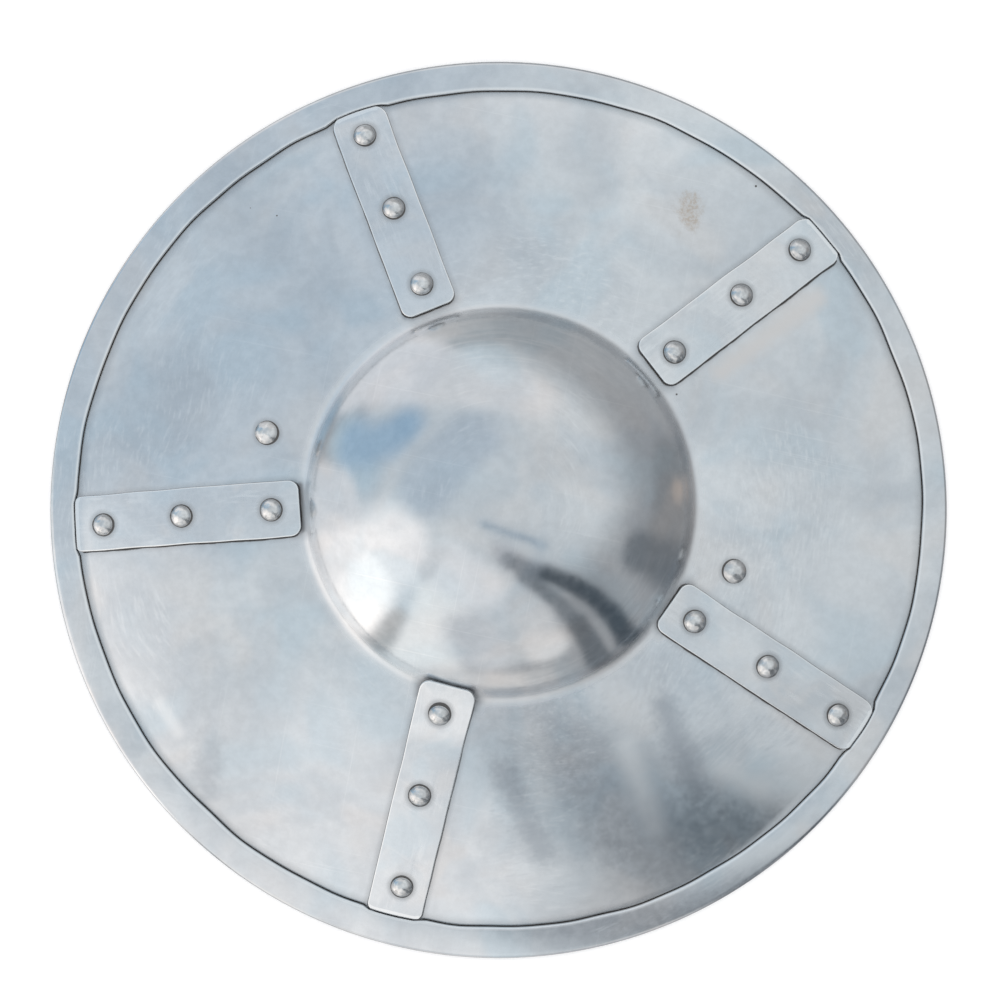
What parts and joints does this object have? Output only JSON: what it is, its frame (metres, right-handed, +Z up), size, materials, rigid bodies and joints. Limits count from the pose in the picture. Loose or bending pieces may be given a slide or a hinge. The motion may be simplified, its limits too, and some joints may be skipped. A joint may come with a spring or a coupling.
{
  "type": "buckler shield",
  "caption": "Small round steel buckler, dished with a domed boss, a folded hem and riveted radial straps, and a hand grip behind the boss, lying on its rim.",
  "frame": {"origin": "centre of the rim's outer circle, at the height of the surface that the rim lies on", "axes": "+Z up along the shield's thickness, towards the boss; +X and +Y in the rim's plane, with the grip running 16.5 degrees clockwise from +X seen from the front"},
  "size_m": [0.34, 0.34, 0.0673],
  "materials": {
    "plate_steel": "satin ground steel, blue-grey, with faint clouding and fine scratches",
    "strap_steel": "satin ground steel with eased, brighter edges",
    "rivet_steel": "polished domed heads with grime round them",
    "grip_steel": "forged and filed steel, duller than the front"
  },
  "bodies": {
    "root": {"shield_plate": "plate_steel", "strap_1": "strap_steel", "strap_2": "strap_steel", "strap_3": "strap_steel", "strap_4": "strap_steel", "strap_5": "strap_steel", "strap_1_rivet_inner": "rivet_steel", "strap_1_rivet_middle": "rivet_steel", "strap_1_rivet_outer": "rivet_steel", "strap_2_rivet_inner": "rivet_steel", "strap_2_rivet_middle": "rivet_steel", "strap_2_rivet_outer": "rivet_steel", "strap_3_rivet_inner": "rivet_steel", "strap_3_rivet_middle": "rivet_steel", "strap_3_rivet_outer": "rivet_steel", "strap_4_rivet_inner": "rivet_steel", "strap_4_rivet_middle": "rivet_steel", "strap_4_rivet_outer": "rivet_steel", "strap_5_rivet_inner": "rivet_steel", "strap_5_rivet_middle": "rivet_steel", "strap_5_rivet_outer": "rivet_steel", "grip_rivet_left": "rivet_steel", "grip_rivet_right": "rivet_steel", "hand_grip": "grip_steel"}
  },
  "joints": []
}
